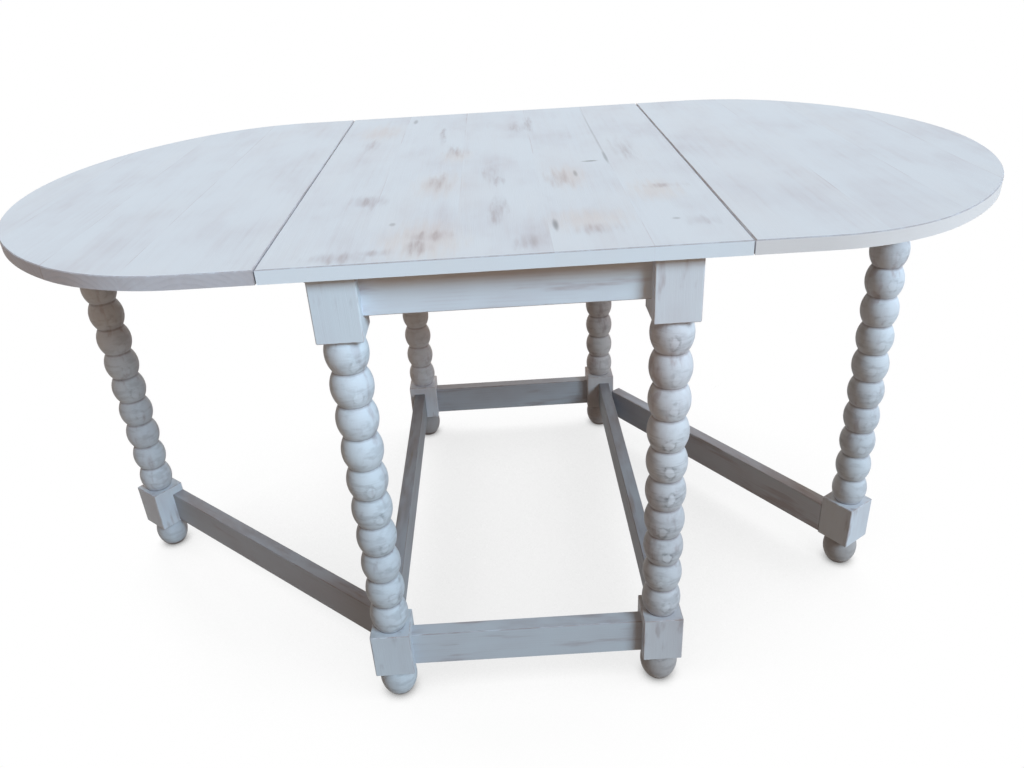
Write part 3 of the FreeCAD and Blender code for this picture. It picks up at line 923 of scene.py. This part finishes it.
# %% Screws of the gate hinges
TO_LEFT = Vector((-1.0, 0.0, 0.0))
TO_FRONT = Vector((0.0, -1.0, 0.0))
pivot = Vector((-0.2357, -0.3345, 0.0))
half_gap = 0.0007
gate_hinge_zs = (0.0925, 0.715)
frame_flap_steps = (0.012, 0.023)
gate_flap_middle = 0.0135
gate_flap_lifts = (-0.009, 0.009)


def swung(places, opening):
    # Places on a folded gate, swung out with it by the opening in degrees
    swing = Euler((0.0, 0.0, math.radians(opening))).to_matrix()
    return [(pivot + swing @ (point - pivot), swing @ facing) for point, facing in places]


def twin(places):
    # The right half of the frame is the left half turned half a turn about the middle
    half_turn = Euler((0.0, 0.0, math.pi)).to_matrix()
    return [(half_turn @ point, half_turn @ facing) for point, facing in places]


left_fixed, folded_gate = [], []
for z in gate_hinge_zs:
    for step in frame_flap_steps:
        left_fixed.append((pivot + Vector((half_gap, -step, z)), TO_LEFT))
    for lift in gate_flap_lifts:
        folded_gate.append((pivot + Vector((-gate_flap_middle, half_gap, z + lift)), TO_FRONT))
left_gate = swung(folded_gate, openings["left"])
right_gate = twin(swung(folded_gate, openings["right"]))
print(len(left_fixed), "screws in one gate's fixed flaps,", len(folded_gate), "in its moving flaps")

# %% [markdown]
# ## Driving the screws
# The frame, each leaf and each gate carry their own screws, so they become one piece for each of these
# bodies. A mesh with only points holds the places, the Geometry Nodes tree sets a head on every point,
# and the result is kept as a plain mesh. It then rides on its body, and moves where that moves.


# %% Driving the screws
def drive_screws(body, places, seed):
    spots = bpy.data.meshes.new("screw_places_" + body)
    spots.from_pydata([point for point, facing in places], [], [])
    ways = spots.attributes.new("facing", "FLOAT_VECTOR", "POINT")
    ways.data.foreach_set("vector", [part for point, facing in places for part in facing])
    maker = bpy.data.objects.new("screw_places_" + body, spots)
    scene.collection.objects.link(maker)
    modifier = maker.modifiers.new("screws", "NODES")
    modifier.node_group = slotted_screws
    values = {"Head Radius": 0.0036, "Head Height": 0.0005, "Slot Width": 0.0008}
    values |= {"Seed": seed, "Steel": hinge_steel}
    for item in slotted_screws.interface.items_tree:
        if item.name in values:
            modifier[item.identifier] = values[item.name]
    graph = bpy.context.evaluated_depsgraph_get()
    mesh = bpy.data.meshes.new_from_object(maker.evaluated_get(graph))
    bpy.data.objects.remove(maker)
    screws = bpy.data.objects.new("screws_" + body, mesh)
    scene.collection.objects.link(screws)
    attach(screws, body)
    return len(mesh.polygons)


screw_places = {
    "frame": right_top + twin(right_top) + left_fixed + twin(left_fixed) + blocks + twin(blocks),
    "right_leaf": right_leaf,
    "left_leaf": twin(right_leaf),
    "left_gate": left_gate,
    "right_gate": right_gate,
}
for seed, (body, places) in enumerate(screw_places.items()):
    print(body, "has", len(places), "screws in", drive_screws(body, places, seed), "faces")

# %% [markdown]
# ## Floor
# A white sweep shows nothing but a soft shadow where the table hides the sky, so that is what the camera
# gets: white, dimmed by ambient occlusion. Bounced light meets a warm mid tone instead, as of boards,
# which puts brown warmth under the table. Light Path tells the two kinds of ray apart. A second, tight
# shade sits where each foot meets the floor, and makes the table stand rather than float.


# %% Floor
def camera_sees(tree):
    rays = tree.nodes.new("ShaderNodeLightPath").outputs
    seen = calc(tree, "MAXIMUM", rays["Is Camera Ray"], rays["Is Glossy Ray"])
    return calc(tree, "MAXIMUM", seen, rays["Is Transmission Ray"])


def shade(tree, reach, depth, full, none):
    # White where the sky is open to the given share, and down by the given depth where it is hidden
    open_sky = add(tree, "AmbientOcclusion", {"Distance": reach}, samples=8).outputs["AO"]
    return calc(tree, "MULTIPLY_ADD", rise(tree, open_sky, full, none), depth, 1.0 - depth)


def floor_material():
    material = bpy.data.materials.new("pale_floor")
    material.use_nodes = True
    tree = material.node_tree
    tree.nodes.clear()
    strength = calc(tree, "MULTIPLY", shade(tree, *wide_shadow), shade(tree, *foot_shadow))
    shown = add(tree, "Emission", {"Color": (1.0, 1.0, 1.0, 1.0), "Strength": strength})
    warm = add(tree, "BsdfDiffuse", {"Color": floor_bounce})
    both = add(tree, "MixShader", {0: camera_sees(tree), 1: warm.outputs[0], 2: shown.outputs[0]})
    surface = tree.nodes.new("ShaderNodeOutputMaterial")
    tree.links.new(both.outputs[0], surface.inputs["Surface"])
    return material


floor_reach = 40.0
# Each shadow: its reach in metres, its depth, and the open shares of sky where it is full and gone
wide_shadow = (1.5, 0.22, 0.2, 0.65)
foot_shadow = (0.028, 0.62, 0.2, 0.78)
floor_bounce = linear(148, 130, 113)
floor_mesh = bpy.data.meshes.new("floor")
corners = [(-1, -1), (1, -1), (1, 1), (-1, 1)]
floor_mesh.from_pydata([(x * floor_reach, y * floor_reach, 0.0) for x, y in corners], [], [(0, 1, 2, 3)])
floor_mesh.materials.append(floor_material())
floor = bpy.data.objects.new("floor", floor_mesh)
scene.collection.objects.link(floor)
print("floor of", 2 * floor_reach, "m")

# %% [markdown]
# ## Light
# One cool lamp from the front and right stands for a window, a wide soft one lights the far side, and a
# dim warm sky all round, brighter on the window's side, stands for the walls of a room. A wash is matt,
# so the lamps are kept out of its reflections, which show only the white sweep.

# %% Light
front_sky = (0.42, 0.33, 0.255, 1.0)
back_sky = (0.28, 0.23, 0.19, 1.0)
high_sky = (0.31, 0.19, 0.13, 1.0)
left_sky = 0.68
right_sky = 1.28
lamp_distance = 3.0
# Each lamp: where its light comes from, its colour, its strength and its width in degrees
lamps = {
    "window_lamp": ((0.58, -0.62, 0.59), (0.76, 1.0, 1.17), 2.85, 28.0),
    "far_side_lamp": ((-0.15, 0.85, 0.22), (1.04, 1.0, 0.9), 1.55, 80.0),
}

world = bpy.data.worlds.new("room_sky")
world.use_nodes = True
sky = world.node_tree
sky.nodes.clear()
way = parts_of(sky, sky.nodes.new("ShaderNodeTexCoord").outputs["Generated"])
low_sky = mixed(sky, rise(sky, way["Y"], -0.8, 0.8), front_sky, back_sky)
sky_colour = mixed(sky, rise(sky, way["Z"], 0.0, 0.8), low_sky, high_sky)
sky_strength = calc(sky, "MULTIPLY_ADD", rise(sky, way["X"], -0.8, 0.8), right_sky - left_sky, left_sky)
lit = add(sky, "Background", {"Color": sky_colour, "Strength": sky_strength})
seen = add(sky, "Background", {"Color": (1.0, 1.0, 1.0, 1.0), "Strength": 1.0})
both = add(sky, "MixShader", {0: camera_sees(sky), 1: lit.outputs[0], 2: seen.outputs[0]})
sky.links.new(both.outputs[0], sky.nodes.new("ShaderNodeOutputWorld").inputs["Surface"])
scene.world = world

for name, (place, colour, strength, width) in lamps.items():
    lamp_data = bpy.data.lights.new(name, "SUN")
    lamp_data.color = colour
    lamp_data.energy = strength
    lamp_data.angle = math.radians(width)
    lamp = bpy.data.objects.new(name, lamp_data)
    lamp.location = Vector(place) * lamp_distance
    lamp.rotation_euler = Vector(place).to_track_quat("Z", "Y").to_euler()
    lamp.visible_glossy = False
    scene.collection.objects.link(lamp)
print("lamps:", ", ".join(lamps))
